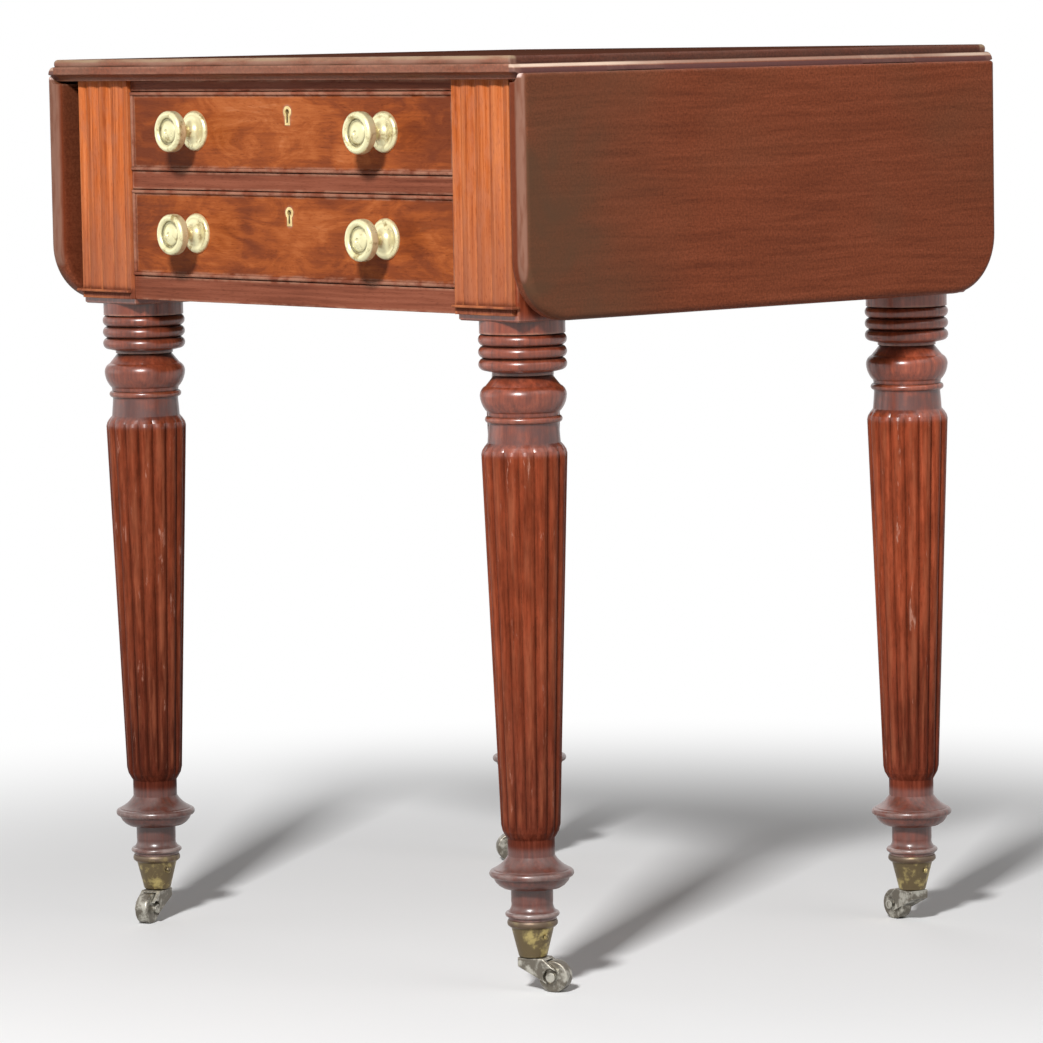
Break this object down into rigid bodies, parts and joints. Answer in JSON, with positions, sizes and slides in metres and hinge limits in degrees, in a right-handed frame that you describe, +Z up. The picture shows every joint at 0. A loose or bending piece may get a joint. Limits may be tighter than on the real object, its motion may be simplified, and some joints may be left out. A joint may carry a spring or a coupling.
{
  "type": "drop-leaf work table",
  "caption": "Drop-leaf mahogany side table with stacked end drawers, turned reeded legs and brass casters; the side leaves swing up to enlarge the top.",
  "frame": {"origin": "on the floor under the centre of the outline with the leaves down", "axes": "+X towards the right leaf, drawers face -Y, +Z up"},
  "size_m": [0.6, 0.5396, 0.73],
  "materials": {
    "mahogany_top": "dark red-brown polished mahogany",
    "mahogany_leg": "polished red-brown mahogany with worn reeds",
    "mahogany_rail": "polished dark mahogany",
    "mahogany_figured": "polished flame-figured mahogany veneer",
    "mahogany_bead": "polished mahogany cock bead",
    "mahogany_pilaster": "bright straight-grained mahogany, polished",
    "mahogany_panel": "plain mahogany, thin polish",
    "beech": "bare aged beech",
    "oak_lining": "bare aged oak",
    "brass_polished": "polished brass",
    "brass_aged": "tarnished brass",
    "bronze_worn": "worn dull bronze",
    "lock_brass": "dull brass",
    "bolt_steel": "worn steel",
    "iron": "dark wrought iron",
    "screw_steel": "dull steel"
  },
  "bodies": {
    "case": {"back_panel": "mahogany_panel", "bottom_rail": "mahogany_rail", "caster_cup_back_left": "brass_aged", "caster_cup_back_right": "brass_aged", "caster_cup_front_left": "brass_aged", "caster_cup_front_right": "brass_aged", "cup_screws": "brass_aged", "drawer_runners": "beech", "fly_brackets": "beech", "fly_pins": "iron", "fly_rails": "beech", "frame_screws": "screw_steel", "hinge_frame_plates": "iron", "hinge_pins": "iron", "kickers": "beech", "leg_back_left": "mahogany_leg", "leg_back_right": "mahogany_leg", "leg_front_left": "mahogany_leg", "leg_front_right": "mahogany_leg", "middle_rail": "mahogany_rail", "pilasters": "mahogany_pilaster", "side_panels": "mahogany_panel", "top_board": "mahogany_top", "top_rail": "mahogany_rail"},
    "left_leaf": {"leaf_left": "mahogany_top", "hinge_leaf_plates_left": "iron", "hinge_leaf_screws_left": "screw_steel"},
    "right_leaf": {"leaf_right": "mahogany_top", "hinge_leaf_plates_right": "iron", "hinge_leaf_screws_right": "screw_steel"},
    "upper_drawer": {"upper_drawer_front": "mahogany_figured", "upper_drawer_beads": "mahogany_bead", "upper_drawer_sides": "oak_lining", "upper_drawer_back": "oak_lining", "upper_drawer_bottom": "oak_lining", "upper_knobs": "brass_polished", "upper_escutcheon": "brass_polished", "upper_lock": "lock_brass"},
    "upper_bolt": {"upper_lock_bolt": "bolt_steel"},
    "lower_drawer": {"lower_drawer_front": "mahogany_figured", "lower_drawer_beads": "mahogany_bead", "lower_drawer_sides": "oak_lining", "lower_drawer_back": "oak_lining", "lower_drawer_bottom": "oak_lining", "lower_knobs": "brass_polished", "lower_escutcheon": "brass_polished", "lower_lock": "lock_brass"},
    "lower_bolt": {"lower_lock_bolt": "bolt_steel"},
    "swivel_front_left": {"caster_horn_front_left": "bronze_worn", "caster_axle_front_left": "bronze_worn"},
    "wheel_front_left": {"caster_wheel_front_left": "bronze_worn"},
    "swivel_front_right": {"caster_horn_front_right": "bronze_worn", "caster_axle_front_right": "bronze_worn"},
    "wheel_front_right": {"caster_wheel_front_right": "bronze_worn"},
    "swivel_back_left": {"caster_horn_back_left": "bronze_worn", "caster_axle_back_left": "bronze_worn"},
    "wheel_back_left": {"caster_wheel_back_left": "bronze_worn"},
    "swivel_back_right": {"caster_horn_back_right": "bronze_worn", "caster_axle_back_right": "bronze_worn"},
    "wheel_back_right": {"caster_wheel_back_right": "bronze_worn"}
  },
  "joints": [
    {"name": "left_leaf_swing", "type": "hinge", "parent": "case", "child": "left_leaf", "pos_m": [-0.287, 0, 0.717], "axis": [0, 1, 0], "range_deg": [0, 90]},
    {"name": "right_leaf_swing", "type": "hinge", "parent": "case", "child": "right_leaf", "pos_m": [0.287, 0, 0.717], "axis": [0, -1, 0], "range_deg": [0, 90]},
    {"name": "upper_drawer_slide", "type": "slide", "parent": "case", "child": "upper_drawer", "axis": [0, -1, 0], "range_m": [0, 0.3]},
    {"name": "upper_bolt_throw", "type": "slide", "parent": "upper_drawer", "child": "upper_bolt", "axis": [0, 0, 1], "range_m": [0, 0.006]},
    {"name": "lower_drawer_slide", "type": "slide", "parent": "case", "child": "lower_drawer", "axis": [0, -1, 0], "range_m": [0, 0.3]},
    {"name": "lower_bolt_throw", "type": "slide", "parent": "lower_drawer", "child": "lower_bolt", "axis": [0, 0, 1], "range_m": [0, 0.006]},
    {"name": "swivel_turn_front_left", "type": "hinge", "parent": "case", "child": "swivel_front_left", "pos_m": [-0.239, -0.20485, 0.03], "axis": [0, 0, 1], "continuous": true},
    {"name": "wheel_roll_front_left", "type": "hinge", "parent": "swivel_front_left", "child": "wheel_front_left", "pos_m": [-0.23127, -0.22221, 0.0125], "axis": [0.9135, 0.4067, 0], "continuous": true},
    {"name": "swivel_turn_front_right", "type": "hinge", "parent": "case", "child": "swivel_front_right", "pos_m": [0.239, -0.20485, 0.03], "axis": [0, 0, 1], "continuous": true},
    {"name": "wheel_roll_front_right", "type": "hinge", "parent": "swivel_front_right", "child": "wheel_front_right", "pos_m": [0.25649, -0.19743, 0.0125], "axis": [-0.3907, 0.9205, 0], "continuous": true},
    {"name": "swivel_turn_back_left", "type": "hinge", "parent": "case", "child": "swivel_back_left", "pos_m": [-0.239, 0.22215, 0.03], "axis": [0, 0, 1], "continuous": true},
    {"name": "wheel_roll_back_left", "type": "hinge", "parent": "swivel_back_left", "child": "wheel_back_left", "pos_m": [-0.24907, 0.20604, 0.0125], "axis": [0.848, -0.5299, 0], "continuous": true},
    {"name": "swivel_turn_back_right", "type": "hinge", "parent": "case", "child": "swivel_back_right", "pos_m": [0.239, 0.22215, 0.03], "axis": [0, 0, 1], "continuous": true},
    {"name": "wheel_roll_back_right", "type": "hinge", "parent": "swivel_back_right", "child": "wheel_back_right", "pos_m": [0.22007, 0.22381, 0.0125], "axis": [-0.0872, -0.9962, 0], "continuous": true}
  ]
}
